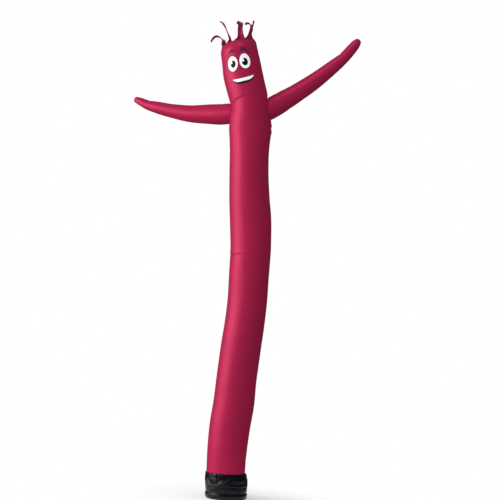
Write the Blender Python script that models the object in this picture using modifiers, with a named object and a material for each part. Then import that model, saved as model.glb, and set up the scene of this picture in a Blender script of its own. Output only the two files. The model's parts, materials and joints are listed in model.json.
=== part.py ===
"""Inflatable air dancer, blown up and swaying, with its collar pulled over a blower's outlet ring.

Metres, +Z up. The origin is the centre of the outlet ring's underside, and the face looks along -Y.
"""

import math

import bmesh
import bpy
from mathutils import Vector

# Driving dimensions
TUBE_RADIUS = 0.2345  # one width of 60 inch cloth, sewn to a tube
SKIN = 0.002  # thickness of a cloth wall
RIBBON = 0.0015  # thickness of a hair streamer
PATCH = 0.001  # thickness of a patch sewn on the face
PATCH_LIFT = 0.0012  # how far a patch stands clear of the flats of the faceted tube
SEAM_GAP = 0.0006  # between two lengths of the tube
SEWN_GAP = 0.0004  # between a sewn-on piece and what it is sewn to
SIDES = 24  # facets round the tube, the collar and the ring
ARM_SIDES = 14
ARM_SPANS = 12  # stretches between an arm's rings
RING_STEP = 0.140  # between two rings of the tube's mesh
TOP_RING_STEP = 0.084  # the same at the shoulders and the head
TUBE_FOOT = 0.243  # the tube ends this high, tucked into the collar
SEAMS = (1.546, 2.787, 4.026)  # heights at which one cut length is sewn to the next

# The tube, from the collar to the neck and the head. The spine sways in the X-Z plane.
TUBE = (
    # height, shift, half_width, half_depth
    (0.235, -0.018, 0.2220, 0.2220),
    (0.295, -0.019, 0.2220, 0.2220),
    (0.555, -0.018, 0.2285, 0.2340),
    (0.817, -0.004, 0.2355, 0.2335),
    (1.079, 0.024, 0.2370, 0.2320),
    (1.340, 0.038, 0.2335, 0.2350),
    (1.743, 0.069, 0.2335, 0.2375),
    (2.005, 0.093, 0.2325, 0.2385),
    (2.281, 0.109, 0.2320, 0.2370),
    (2.557, 0.109, 0.2335, 0.2355),
    (2.787, 0.111, 0.2358, 0.2330),
    (2.917, 0.109, 0.2380, 0.2310),
    (3.222, 0.088, 0.2440, 0.2250),
    (3.456, 0.062, 0.2385, 0.2305),
    (3.735, 0.040, 0.2315, 0.2375),
    (4.004, 0.027, 0.2320, 0.2370),
    (4.169, 0.023, 0.2410, 0.2280),
    (4.294, 0.021, 0.2530, 0.2200),
    (4.404, 0.016, 0.2450, 0.2240),
    (4.504, 0.011, 0.2330, 0.2320),
    (4.613, -0.006, 0.2245, 0.2350),
    (4.702, -0.030, 0.2295, 0.2380),
    (4.800, -0.062, 0.2315, 0.2370),
    (4.948, -0.106, 0.2345, 0.2345),
    (5.076, -0.133, 0.2290, 0.2350),
    (5.173, -0.156, 0.2230, 0.2380),
)
CROWN_FOOT = TUBE[-1][0]
CROWN_HEIGHT = 0.190
CROWN_SQUARENESS = 3.10  # exponent of the crown's outline seen from the front; 2 is an ellipse
CROWN_RINGS = 7

# The arms: distance out from the tube's spine, height and radius of each section
ARM_LEFT_TURN = 158.5  # degrees from +X, so that this arm reaches a little backwards
ARM_LEFT = (
    # out, height, radius
    (0.119, 4.495, 0.1190),
    (0.264, 4.491, 0.1225),
    (0.405, 4.486, 0.1230),
    (0.509, 4.491, 0.1180),
    (0.779, 4.503, 0.1025),
    (1.034, 4.546, 0.0845),
    (1.216, 4.588, 0.0740),
    (1.366, 4.628, 0.0590),
    (1.478, 4.677, 0.0470),
    (1.535, 4.701, 0.0350),
)
ARM_RIGHT_TURN = 0.0
ARM_RIGHT = (
    # out, height, radius
    (0.121, 4.490, 0.1180),
    (0.237, 4.563, 0.1250),
    (0.345, 4.638, 0.1235),
    (0.519, 4.758, 0.1090),
    (0.731, 4.921, 0.0970),
    (0.962, 5.125, 0.0790),
    (1.075, 5.234, 0.0670),
    (1.159, 5.342, 0.0625),
    (1.210, 5.412, 0.0530),
    (1.234, 5.445, 0.0370),
)
ARM_TIP_BULGE = 0.5  # how far the sewn tip stands out, as a share of its last radius
SHOULDER = Vector((0.009, 0.0, 0.0))  # the tube's spine where the arms meet it

# The collar of coated cloth, with its rolled hem
COLLAR = (
    # height, shift, radius
    (0.0140, -0.001, 0.2390),
    (0.0280, -0.001, 0.2425),
    (0.0460, -0.001, 0.2435),
    (0.0620, -0.001, 0.2410),
    (0.0710, -0.001, 0.2380),
    (0.1250, -0.004, 0.2405),
    (0.2050, -0.010, 0.2435),
    (0.2550, -0.013, 0.2395),
    (0.2790, -0.016, 0.2350),
    (0.2890, -0.018, 0.2300),
)

# The blower's outlet ring
RING_SIDES = 36
RING_RADIUS = 0.2240
RING_WALL = 0.0040
RING_HEIGHT = 0.0720
RING_BEAD = 0.0035  # how far the rounded lip at its top stands out
RING_FOOT = 0.0080  # how far the flat foot reaches in under the wall

# The face: places are metres of cloth to the right of its middle line, and heights on the spine
FACE_TURN = math.radians(-8.0)
EYE_ACROSS = 0.0745
EYE_HEIGHT = 5.052
EYE_HALF = (0.0710, 0.0925)
PUPILS = (
    # name, across, height, half_width, half_height
    ("pupil_left", -0.0700, 5.040, 0.0300, 0.0400),
    ("pupil_right", 0.0735, 5.047, 0.0340, 0.0425),
)
BROW = (
    # across, height, half_thickness
    (0.034, 5.183, 0.0090),
    (0.066, 5.201, 0.0130),
    (0.100, 5.193, 0.0110),
    (0.130, 5.167, 0.0080),
    (0.152, 5.135, 0.0030),
)
MOUTH_ACROSS = 0.025
MOUTH_HALF = 0.143
MOUTH_HEIGHT = 4.873
MOUTH_TOP_DIP = 0.013
MOUTH_BOTTOM_DIP = 0.061
MOUTH_ROUNDNESS = 2.6  # exponent of the lower edge; 2 is a parabola
MOUTH_STEPS = 12
LIP = 0.015  # thickness of the lip line under the middle of the mouth
LIP_TAPER = 0.6  # the share of it that is lost towards the corners
LIP_GAP = 0.0016  # between the mouth and the lip line

# The hair: streamers of tube cloth, each from its root in the crown to its free end
STREAMERS = {
    # x, y, rise above the root, width, turn of the width from +X in degrees
    "streamer_1": (
        (-0.347, -0.012, 0.000, 0.050, 55),
        (-0.361, -0.012, 0.032, 0.048, 58),
        (-0.375, -0.010, 0.066, 0.044, 64),
        (-0.405, -0.004, 0.091, 0.040, 76),
        (-0.443, 0.002, 0.103, 0.040, 78),
        (-0.473, 0.008, 0.092, 0.040, 76),
        (-0.493, 0.012, 0.067, 0.040, 74),
        (-0.511, 0.014, 0.038, 0.040, 74),
    ),
    "streamer_2": (
        (-0.341, 0.046, 0.000, 0.046, 48),
        (-0.351, 0.046, 0.033, 0.042, 42),
        (-0.364, 0.050, 0.071, 0.040, 30),
        (-0.366, 0.070, 0.085, 0.040, 10),
        (-0.369, 0.112, 0.072, 0.038, 5),
        (-0.374, 0.148, 0.044, 0.038, 5),
    ),
    "streamer_3": (
        (-0.285, 0.000, 0.000, 0.056, 34),
        (-0.293, 0.000, 0.045, 0.050, 60),
        (-0.308, 0.000, 0.082, 0.044, 72),
        (-0.336, 0.004, 0.146, 0.042, 75),
        (-0.373, 0.010, 0.209, 0.046, 68),
        (-0.395, 0.012, 0.235, 0.042, 66),
        (-0.422, 0.014, 0.244, 0.034, 78),
    ),
    "streamer_4": (
        (-0.173, -0.016, 0.000, 0.052, 16),
        (-0.171, -0.016, 0.055, 0.046, 8),
        (-0.173, -0.014, 0.095, 0.044, -8),
        (-0.179, -0.012, 0.165, 0.044, 12),
        (-0.183, -0.012, 0.211, 0.044, 30),
        (-0.195, -0.014, 0.226, 0.040, 66),
        (-0.218, -0.016, 0.207, 0.036, 80),
    ),
    "streamer_5": (
        (-0.132, 0.016, 0.000, 0.048, -22),
        (-0.142, 0.016, 0.054, 0.044, -20),
        (-0.151, 0.016, 0.094, 0.040, -30),
        (-0.157, 0.016, 0.164, 0.038, -32),
        (-0.160, 0.020, 0.214, 0.038, -14),
        (-0.162, 0.038, 0.228, 0.038, -5),
        (-0.162, 0.062, 0.203, 0.036, -5),
    ),
    "streamer_6": (
        (-0.063, -0.016, 0.000, 0.046, 18),
        (-0.061, -0.016, 0.056, 0.040, 38),
        (-0.058, -0.014, 0.088, 0.036, 54),
        (-0.047, -0.012, 0.139, 0.034, 44),
        (-0.047, -0.012, 0.179, 0.034, 56),
        (-0.063, -0.014, 0.200, 0.034, 76),
        (-0.091, -0.016, 0.205, 0.034, 84),
        (-0.119, -0.018, 0.195, 0.032, 84),
    ),
    "streamer_7": (
        (-0.028, 0.016, 0.000, 0.046, -18),
        (-0.037, 0.016, 0.061, 0.040, -44),
        (-0.041, 0.016, 0.094, 0.036, -56),
        (-0.035, 0.016, 0.145, 0.034, -42),
        (-0.029, 0.016, 0.187, 0.032, -46),
        (-0.021, 0.016, 0.222, 0.022, -64),
        (-0.018, 0.016, 0.242, 0.022, -50),
        (-0.016, 0.016, 0.260, 0.028, -24),
    ),
}
STREAMER_STATIONS = 15
ROOT_GAP = 0.0030  # between a streamer's root and the flats of the crown

RED = (0.34, 0.012, 0.045)
DARK_RED = (0.24, 0.009, 0.032)
BLACK = (0.015, 0.017, 0.02)
RING_BLACK = (0.03, 0.03, 0.033)
WHITE = (0.85, 0.85, 0.86)
GREY = (0.10, 0.06, 0.08)


def clear_scene():
    """Remove every object, so that the script gives the same model from any scene."""
    for obj in list(bpy.data.objects):
        bpy.data.objects.remove(obj, do_unlink=True)


def new_collection(name):
    """Make a collection in the scene."""
    collection = bpy.data.collections.new(name)
    bpy.context.scene.collection.children.link(collection)
    return collection


def new_material(name, colour, roughness, metallic=0.0):
    """Make a Principled material."""
    material = bpy.data.materials.new(name)
    material.use_nodes = True
    shader = material.node_tree.nodes["Principled BSDF"]
    shader.inputs["Base Color"].default_value = (*colour, 1.0)
    shader.inputs["Roughness"].default_value = roughness
    shader.inputs["Metallic"].default_value = metallic
    return material


def read_row(table, key):
    """All the columns of a table at a value of its first one, on a smooth curve through its rows."""
    last = len(table) - 1
    i = max(0, min(last - 1, sum(row[0] <= key for row in table) - 1))
    before, start, end, after = (table[max(0, min(last, i + k))] for k in (-1, 0, 1, 2))
    span = end[0] - start[0]
    t = max(0.0, min(1.0, (key - start[0]) / span))
    values = []
    for c in range(1, len(start)):
        leave = (end[c] - before[c]) / (end[0] - before[0]) * span
        arrive = (after[c] - start[c]) / (after[0] - start[0]) * span
        values.append(
            start[c] * (2 * t**3 - 3 * t**2 + 1)
            + leave * (t**3 - 2 * t**2 + t)
            + end[c] * (3 * t**2 - 2 * t**3)
            + arrive * (t**3 - t**2)
        )
    return values


def tube_lean(height):
    """The lean of the tube's spine from +Z towards +X, in radians."""
    height = min(height, CROWN_FOOT)
    step = 0.01
    below = max(TUBE[0][0], height - step)
    above = min(CROWN_FOOT, height + step)
    return math.atan2(read_row(TUBE, above)[0] - read_row(TUBE, below)[0], above - below)


def tube_section(height):
    """Centre, lean, half width and half depth of the tube or the crown at a height on its spine."""
    if height <= CROWN_FOOT:
        shift, half_width, half_depth = read_row(TUBE, height)
        return Vector((shift, 0.0, height)), tube_lean(height), half_width, half_depth
    shift, half_width, half_depth = TUBE[-1][1:]
    lean = tube_lean(CROWN_FOOT)
    rise = (height - CROWN_FOOT) / math.cos(lean)
    share = min(1.0, rise / CROWN_HEIGHT)
    climb = math.asin(share ** (CROWN_SQUARENESS / 2))
    axis = Vector((math.sin(lean), 0.0, math.cos(lean)))
    centre = Vector((shift, 0.0, CROWN_FOOT)) + axis * rise
    return centre, lean, half_width * math.cos(climb) ** (2 / CROWN_SQUARENESS), half_depth * math.cos(climb)


def tube_point(height, turn, proud=0.0):
    """A point on the tube's outside; turn is from the front, positive towards +X, in radians."""
    centre, lean, half_width, half_depth = tube_section(height)
    across = Vector((math.cos(lean), 0.0, -math.sin(lean)))
    depth = Vector((0.0, -1.0, 0.0))
    return (
        centre
        + across * (half_width + proud) * math.sin(turn)
        + depth * (half_depth + proud) * math.cos(turn)
    )


def crown_top(x, y):
    """The height of the crown's surface over a place, found by halving."""
    foot, lean, _, _ = tube_section(CROWN_FOOT)
    low, high = CROWN_FOOT, CROWN_FOOT + 1.2 * CROWN_HEIGHT
    for _ in range(30):
        middle = (low + high) / 2
        from_foot = Vector((x, y, middle)) - foot
        rise = from_foot.dot(Vector((math.sin(lean), 0.0, math.cos(lean))))
        across = from_foot.dot(Vector((math.cos(lean), 0.0, -math.sin(lean))))
        _, _, half_width, half_depth = tube_section(CROWN_FOOT + rise * math.cos(lean))
        inside = rise < CROWN_HEIGHT and (across / half_width) ** 2 + (y / half_depth) ** 2 < 1
        low, high = (middle, high) if inside else (low, middle)
    return low


def tube_ring(height, proud=0.0):
    """The points round the tube at one height on its spine."""
    return [tube_point(height, 2 * math.pi * k / SIDES, proud) for k in range(SIDES)]


def heights_between(low, high, step):
    """Evenly spaced heights from low to high, at most a step apart."""
    count = max(2, math.ceil((high - low) / step))
    return [low + (high - low) * k / count for k in range(count + 1)]


def make_object(name, mesh, collection, material=None):
    """Wrap a mesh in an object."""
    obj = bpy.data.objects.new(name, mesh)
    collection.objects.link(obj)
    if material:
        mesh.materials.append(material)
    return obj


def loft(name, rings, pole=None, cap_foot=False, cap_head=False):
    """A mesh through rings of points, closed at its far end by a pole point or by flat caps."""
    bm = bmesh.new()
    rows = [[bm.verts.new(p) for p in ring] for ring in rings]
    for low, high in zip(rows, rows[1:]):
        for k in range(len(low)):
            n = (k + 1) % len(low)
            bm.faces.new((low[k], low[n], high[n], high[k]))
    if pole is not None:
        top = bm.verts.new(pole)
        for k in range(len(rows[-1])):
            bm.faces.new((rows[-1][k], rows[-1][(k + 1) % len(rows[-1])], top))
    if cap_foot:
        bm.faces.new(rows[0])
    if cap_head:
        bm.faces.new(rows[-1])
    bmesh.ops.recalc_face_normals(bm, faces=bm.faces)
    mesh = bpy.data.meshes.new(name)
    bm.to_mesh(mesh)
    bm.free()
    mesh.shade_smooth()
    return mesh


def turn_outward(mesh, centre):
    """Flip an open mesh whose faces look towards a point that it goes round."""
    facing = sum((p.center - centre(p.center)).dot(p.normal) * p.area for p in mesh.polygons)
    if facing < 0:
        mesh.flip_normals()


def add_shell(obj, thickness, offset=-1.0):
    """Thicken an open surface; offset -1 keeps its outside and 1 keeps its inside."""
    modifier = obj.modifiers.new("shell", "SOLIDIFY")
    modifier.thickness = thickness
    modifier.offset = offset
    modifier.use_even_offset = True
    modifier.use_rim = True


def cut(obj, cutter):
    """Take a cutter's volume out of an object."""
    modifier = obj.modifiers.new("cut_" + cutter.name, "BOOLEAN")
    modifier.operation = "DIFFERENCE"
    modifier.solver = "EXACT"
    modifier.object = cutter


def make_cutter(name, mesh, cutters):
    """An object that only cuts others."""
    obj = make_object(name, mesh, cutters)
    obj.hide_render = True
    obj.display_type = "WIRE"
    return obj


def arm_rings(table, turn, inset=0.0):
    """The rings of an arm, square to its path, and the point of its tip."""
    heading = Vector((math.cos(math.radians(turn)), math.sin(math.radians(turn)), 0.0))
    side = Vector((-heading.y, heading.x, 0.0))
    reach = table[-1][0] - table[0][0]
    outs = [table[0][0] + reach * k / ARM_SPANS for k in range(ARM_SPANS + 1)]
    centres = [SHOULDER + heading * out + Vector((0, 0, read_row(table, out)[0])) for out in outs]
    rings = []
    for i, out in enumerate(outs):
        along = (centres[min(i + 1, len(outs) - 1)] - centres[max(i - 1, 0)]).normalized()
        lift = along.cross(side).normalized()
        radius = read_row(table, out)[1] - inset
        angles = [2 * math.pi * k / ARM_SIDES for k in range(ARM_SIDES)]
        rings.append([centres[i] + (side * math.cos(a) + lift * math.sin(a)) * radius for a in angles])
    tip = centres[-1] + along * table[-1][2] * ARM_TIP_BULGE
    return rings, tip


def top_length_heights():
    """The heights of the mesh rings in the tube's topmost length, below the crown."""
    return heights_between(SEAMS[-1] + SEAM_GAP / 2, CROWN_FOOT, TOP_RING_STEP)


def build_tube(parts, cutters, material):
    """The lengths of the tube, the topmost one closed by the crown and pierced by the arms."""
    feet = (TUBE_FOOT, *SEAMS)
    lengths = []
    for number, foot in enumerate(feet, start=1):
        low = foot + (SEAM_GAP / 2 if number > 1 else 0.0)
        pole = None
        if number < len(feet):
            heights = heights_between(low, feet[number] - SEAM_GAP / 2, RING_STEP)
            rings = [tube_ring(h) for h in heights]
        else:
            rings = [tube_ring(h) for h in top_length_heights()]
            rise = CROWN_HEIGHT * math.cos(tube_lean(CROWN_FOOT))
            for k in range(1, CROWN_RINGS):
                climb = math.pi / 2 * k / CROWN_RINGS
                rings.append(tube_ring(CROWN_FOOT + rise * math.sin(climb) ** (2 / CROWN_SQUARENESS)))
            pole = tube_section(CROWN_FOOT + rise)[0]
        name = f"tube_length_{number}"
        mesh = loft(name, rings, pole=pole)
        turn_outward(mesh, lambda p: Vector((read_row(TUBE, p.z)[0], 0.0, p.z)))
        obj = make_object(name, mesh, parts, material)
        add_shell(obj, SKIN)
        lengths.append(obj)
    for side, table, turn in (("left", ARM_LEFT, ARM_LEFT_TURN), ("right", ARM_RIGHT, ARM_RIGHT_TURN)):
        rings, tip = arm_rings(table, turn, inset=SKIN)
        bore = loft(f"arm_bore_{side}", rings, pole=tip, cap_foot=True)
        cut(lengths[-1], make_cutter(f"arm_bore_{side}", bore, cutters))
    return lengths


def build_arms(parts, cutters, material):
    """The two tapered arms, open where they are sewn round the holes in the tube."""
    rings = [tube_ring(h, SEWN_GAP) for h in top_length_heights()]
    trunk = make_cutter("trunk", loft("trunk", rings, cap_foot=True, cap_head=True), cutters)
    arms = []
    for side, table, turn in (("left", ARM_LEFT, ARM_LEFT_TURN), ("right", ARM_RIGHT, ARM_RIGHT_TURN)):
        rings, tip = arm_rings(table, turn)
        mesh = loft(f"arm_{side}", rings, pole=tip)
        middle = [sum(ring, Vector()) / len(ring) for ring in rings]
        turn_outward(mesh, lambda p: min(middle, key=lambda m: (m - p).length))
        obj = make_object(f"arm_{side}", mesh, parts, material)
        add_shell(obj, SKIN)
        cut(obj, trunk)
        arms.append(obj)
    return arms


def build_collar(parts, material):
    """The coated collar, sewn round the tube's foot and pulled down over the outlet ring."""
    rings = []
    for height, shift, radius in COLLAR:
        angles = [2 * math.pi * k / SIDES for k in range(SIDES)]
        rings.append([
            Vector((shift + radius * math.sin(a), -radius * math.cos(a), height)) for a in angles
        ])
    mesh = loft("base_collar", rings)
    turn_outward(mesh, lambda p: Vector((0.0, 0.0, p.z)))
    obj = make_object("base_collar", mesh, parts, material)
    add_shell(obj, SKIN)
    return obj


def build_ring(parts, material):
    """The outlet ring: a turned wall with a bead at its top and a flat foot."""
    inner = RING_RADIUS - RING_WALL
    profile = (
        (RING_RADIUS + RING_BEAD, RING_HEIGHT - RING_BEAD),
        (RING_RADIUS, RING_HEIGHT - 2.5 * RING_BEAD),
        (RING_RADIUS, 0.0),
        (inner - RING_FOOT, 0.0),
        (inner - RING_FOOT, RING_WALL),
        (inner, RING_WALL),
        (inner, RING_HEIGHT),
        (RING_RADIUS + RING_BEAD / 2, RING_HEIGHT),
    )
    mesh = bpy.data.meshes.new("outlet_ring")
    points = [(radius, 0.0, height) for radius, height in profile]
    edges = [(k, (k + 1) % len(points)) for k in range(len(points))]
    mesh.from_pydata(points, edges, [])
    obj = make_object("outlet_ring", mesh, parts, material)
    screw = obj.modifiers.new("turn", "SCREW")
    screw.steps = RING_SIDES
    screw.render_steps = RING_SIDES
    screw.use_merge_vertices = True
    screw.merge_threshold = 0.00005
    return obj


def face_point(across, height, proud):
    """A point on the face, from metres of cloth to the right of its middle line."""
    return tube_point(height, FACE_TURN + across / TUBE_RADIUS, proud)


def patch_mesh(name, rows, proud):
    """A patch of cloth on the face from rows of (across, height) points, one row beside the next."""
    bm = bmesh.new()
    grid = [[bm.verts.new(face_point(a, h, proud)) for a, h in row] for row in rows]
    for left, right in zip(grid, grid[1:]):
        for k in range(len(left) - 1):
            bm.faces.new((left[k], right[k], right[k + 1], left[k + 1]))
    bmesh.ops.remove_doubles(bm, verts=bm.verts, dist=0.0005)
    mesh = bpy.data.meshes.new(name)
    bm.to_mesh(mesh)
    bm.free()
    mesh.shade_smooth()
    turn_outward(mesh, lambda p: Vector((read_row(TUBE, min(p.z, CROWN_FOOT))[0], 0.0, p.z)))
    return mesh


def oval_rows(across, height, half_width, half_height, columns, steps):
    """Rows of an oval patch, each a line of points up one column of it."""
    rows = []
    for i in range(columns + 1):
        angle = math.pi * (1 - i / columns)
        x = across + half_width * math.cos(angle)
        reach = half_height * math.sin(angle)
        rows.append([(x, height + reach * (2 * k / steps - 1)) for k in range(steps + 1)])
    return rows


def build_face(parts, white, black, grey):
    """The patches sewn on the face: eyes, pupils, brows and a smiling mouth with its lip line."""
    first = PATCH_LIFT
    second = first + PATCH + PATCH_LIFT
    pieces = []
    for side, sign in (("left", -1), ("right", 1)):
        eye = oval_rows(sign * EYE_ACROSS, EYE_HEIGHT, *EYE_HALF, columns=8, steps=4)
        pieces.append((f"eye_{side}", eye, first, white))
        brow = [[(sign * a, h - half), (sign * a, h + half)] for a, h, half in BROW]
        pieces.append((f"brow_{side}", brow, first, grey))
    for name, across, height, half_width, half_height in PUPILS:
        pupil = oval_rows(across, height, half_width, half_height, columns=6, steps=4)
        pieces.append((name, pupil, second, black))
    mouth, lip = [], []
    for i in range(MOUTH_STEPS + 1):
        t = 2 * i / MOUTH_STEPS - 1
        across = MOUTH_ACROSS + MOUTH_HALF * t
        top = MOUTH_HEIGHT - MOUTH_TOP_DIP * (1 - t * t)
        bottom = MOUTH_HEIGHT - MOUTH_BOTTOM_DIP * (1 - abs(t) ** MOUTH_ROUNDNESS)
        mouth.append([(across, bottom + (top - bottom) * k / 2) for k in range(3)])
        upper = bottom - LIP_GAP
        lip.append([(across, upper - LIP * (1 - LIP_TAPER * t * t)), (across, upper)])
    pieces.append(("mouth", mouth, first, white))
    pieces.append(("lip_line", lip, first, grey))
    for name, rows, proud, material in pieces:
        obj = make_object(name, patch_mesh(name, rows, proud), parts, material)
        add_shell(obj, PATCH, offset=1.0)


def build_streamer(name, table, parts, material):
    """One hair streamer, a thin ribbon that twists and folds along its path."""
    stations = [(float(i), *row) for i, row in enumerate(table)]
    keys = [k * (len(table) - 1) / (STREAMER_STATIONS - 1) for k in range(STREAMER_STATIONS)]
    samples = [read_row(stations, key) for key in keys]
    x, y, _, width, turn = table[0]
    reach = Vector((math.cos(math.radians(turn)), math.sin(math.radians(turn)))) * width / 2
    root = ROOT_GAP + max(crown_top(x + reach.x * side, y + reach.y * side) for side in (-1, 0, 1))
    bm = bmesh.new()
    pairs = []
    for i, (x, y, rise, width, turn) in enumerate(samples):
        ahead = Vector(samples[min(i + 1, len(samples) - 1)][:3])
        behind = Vector(samples[max(i - 1, 0)][:3])
        along = (ahead - behind).normalized()
        flat = Vector((math.cos(math.radians(turn)), math.sin(math.radians(turn)), 0.0))
        across = (flat - along * flat.dot(along)).normalized() * width / 2
        centre = Vector((x, y, root + rise))
        pairs.append((bm.verts.new(centre - across), bm.verts.new(centre + across)))
    for low, high in zip(pairs, pairs[1:]):
        bm.faces.new((low[0], low[1], high[1], high[0]))
    mesh = bpy.data.meshes.new(name)
    bm.to_mesh(mesh)
    bm.free()
    mesh.shade_smooth()
    obj = make_object(name, mesh, parts, material)
    add_shell(obj, RIBBON, offset=0.0)


def main():
    """Build the whole object."""
    clear_scene()
    parts = new_collection("air_dancer")
    cutters = new_collection("cutters")
    red_cloth = new_material("red_cloth", RED, 0.45)
    streamer_cloth = new_material("streamer_cloth", DARK_RED, 0.5)
    black_cloth = new_material("collar_cloth", BLACK, 0.3)
    ring_plastic = new_material("ring_plastic", RING_BLACK, 0.5)
    white_patch = new_material("white_patch", WHITE, 0.5)
    black_patch = new_material("black_patch", BLACK, 0.5)
    grey_patch = new_material("grey_patch", GREY, 0.5)
    build_tube(parts, cutters, red_cloth)
    build_arms(parts, cutters, red_cloth)
    build_collar(parts, black_cloth)
    build_ring(parts, ring_plastic)
    build_face(parts, white_patch, black_patch, grey_patch)
    for name, table in STREAMERS.items():
        build_streamer(name, table, parts, streamer_cloth)


main()
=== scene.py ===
"""Looks of the inflatable air dancer: sewn nylon skin, coated collar, face patches, hair and ring.

Metres, +Z up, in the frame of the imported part. The face looks along -Y.
"""

from __future__ import annotations

import json
import logging
import math
from dataclasses import dataclass, field, replace
from enum import Enum
from functools import cached_property
from typing import Callable, Sequence

import bmesh
import bpy
from mathutils import Matrix, Vector, noise

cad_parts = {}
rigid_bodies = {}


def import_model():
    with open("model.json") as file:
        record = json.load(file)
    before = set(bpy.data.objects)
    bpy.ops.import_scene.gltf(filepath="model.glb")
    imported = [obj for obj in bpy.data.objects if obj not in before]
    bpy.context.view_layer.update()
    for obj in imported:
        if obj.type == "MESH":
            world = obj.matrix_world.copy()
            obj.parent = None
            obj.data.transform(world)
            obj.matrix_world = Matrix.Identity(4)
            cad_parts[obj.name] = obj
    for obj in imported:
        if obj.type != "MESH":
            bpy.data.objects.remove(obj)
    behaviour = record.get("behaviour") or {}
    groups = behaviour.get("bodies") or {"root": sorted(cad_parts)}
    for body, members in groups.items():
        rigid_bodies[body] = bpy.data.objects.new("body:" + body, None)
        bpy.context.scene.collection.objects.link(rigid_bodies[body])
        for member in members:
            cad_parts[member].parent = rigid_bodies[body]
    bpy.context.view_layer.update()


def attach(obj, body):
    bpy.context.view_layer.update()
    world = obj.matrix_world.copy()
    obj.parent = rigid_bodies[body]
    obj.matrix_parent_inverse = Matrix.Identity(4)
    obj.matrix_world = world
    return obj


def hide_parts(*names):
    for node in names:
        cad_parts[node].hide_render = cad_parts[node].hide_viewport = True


LOG = logging.getLogger("air_dancer")
BODY = "root"
TUBE_RADIUS = 0.2345  # one width of 60 inch cloth, sewn to a tube
CLOTH = 0.0012  # thickness of a visible sheet of cloth
PATCH_CLOTH = 0.001  # thickness of the thinner patches and streamers
SAME_POINT = 0.00002  # points of a sheet nearer than this are one
WEAVE_DEPTH = 0.0003  # height of the threads
CREASE_DEPTH = 0.004  # height of the small creases
THREAD_HALF = 0.0011  # half the width of a stitching thread
DASH_HALF = 0.34  # half of a stitch, as a share of the stitches' pitch
STITCH_RISE = 2.0  # how far a stitch stands up, in heights of the weave
NUDGE = 0.01  # step along a spine over which its slope is read
Table = Sequence[tuple[float, ...]]
Place = tuple[float, float]


class Slot(Enum):
    """Material slots of the record."""

    RED = "red_cloth"
    STREAMER = "streamer_cloth"
    COLLAR = "collar_cloth"
    RING = "ring_plastic"
    WHITE = "white_patch"
    BLACK = "black_patch"
    GREY = "grey_patch"


def read_row(table: Table, key: float) -> list[float]:
    """Read a table on a smooth curve through its rows.

    Args:
        table: Rows that start with a growing key.
        key: Where to read.

    Returns:
        The other columns at that key.
    """
    last = len(table) - 1
    i = max(0, min(last - 1, sum(row[0] <= key for row in table) - 1))
    before, start, end, after = (table[max(0, min(last, i + k))] for k in (-1, 0, 1, 2))
    span = end[0] - start[0]
    t = max(0.0, min(1.0, (key - start[0]) / span))
    values = []
    for c in range(1, len(start)):
        leave = (end[c] - before[c]) / (end[0] - before[0]) * span
        arrive = (after[c] - start[c]) / (after[0] - start[0]) * span
        values.append(
            start[c] * (2 * t**3 - 3 * t**2 + 1)
            + leave * (t**3 - 2 * t**2 + t)
            + end[c] * (3 * t**2 - 2 * t**3)
            + arrive * (t**3 - t**2)
        )
    return values


def bell(distance: float, width: float) -> float:
    """A smooth bump that is 1 at no distance and fades over the width."""
    return math.exp(-((distance / width) ** 2))


def spine_ways(lean: float) -> tuple[Vector, Vector]:
    """The directions across and along a spine that leans from +Z towards +X, in radians."""
    return Vector((math.cos(lean), 0.0, -math.sin(lean))), Vector((math.sin(lean), 0.0, math.cos(lean)))


def level_way(turn: float) -> Vector:
    """The level direction at a turn from +X, in degrees."""
    return Vector((math.cos(math.radians(turn)), math.sin(math.radians(turn)), 0.0))


def even_turns(sides: int) -> list[float]:
    """Even angles once round, in radians."""
    return [2 * math.pi * k / sides for k in range(sides)]


def round_uvs(sides: int, radius: float, levels: Sequence[float]) -> list[list[Place]]:
    """UV places of a sheet closed round, in metres round it and along it."""
    return [[(radius * 2 * math.pi * k / sides, level) for k in range(sides + 1)] for level in levels]


def add_object(name: str, data: bpy.types.ID) -> bpy.types.Object:
    """Make an object and put it in the scene."""
    obj = bpy.data.objects.new(name, data)
    bpy.context.scene.collection.objects.link(obj)
    return obj


# ---------------------------------------------------------------- folds


@dataclass(frozen=True)
class Fold:
    """A soft ridge or trough that runs along a line on a cloth tube.

    The path's points are (turn in degrees, place along the tube in metres).
    """

    path: tuple[Place, ...]
    width: float
    rise: float
    radius: float = TUBE_RADIUS

    def height_at(self, turn: float, along: float) -> float:
        """How far the fold lifts the cloth.

        Args:
            turn: Angle round the tube, in radians.
            along: Place along the tube, in metres.

        Returns:
            The lift in metres, negative in a trough.
        """
        reach = 4 * self.width
        places = [p[1] for p in self.path]
        if not min(places) - reach < along < max(places) + reach:
            return 0.0
        degrees = math.degrees(turn)
        best, share = 1e9, 0.0
        count = len(self.path) - 1
        for i, (a, b) in enumerate(zip(self.path, self.path[1:])):
            offset = (degrees - a[0] + 180.0) % 360.0 - 180.0
            start = Vector((math.radians(offset) * self.radius, along - a[1]))
            run = Vector((math.radians(b[0] - a[0]) * self.radius, b[1] - a[1]))
            t = max(0.0, min(1.0, start.dot(run) / max(run.length_squared, 1e-12)))
            distance = (start - run * t).length
            if distance < best:
                best, share = distance, (i + t) / count
        fade = math.sin(math.pi * min(1.0, max(0.0, 0.12 + 0.76 * share)))
        return self.rise * fade * bell(best, self.width)


# ---------------------------------------------------------------- meshes


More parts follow.
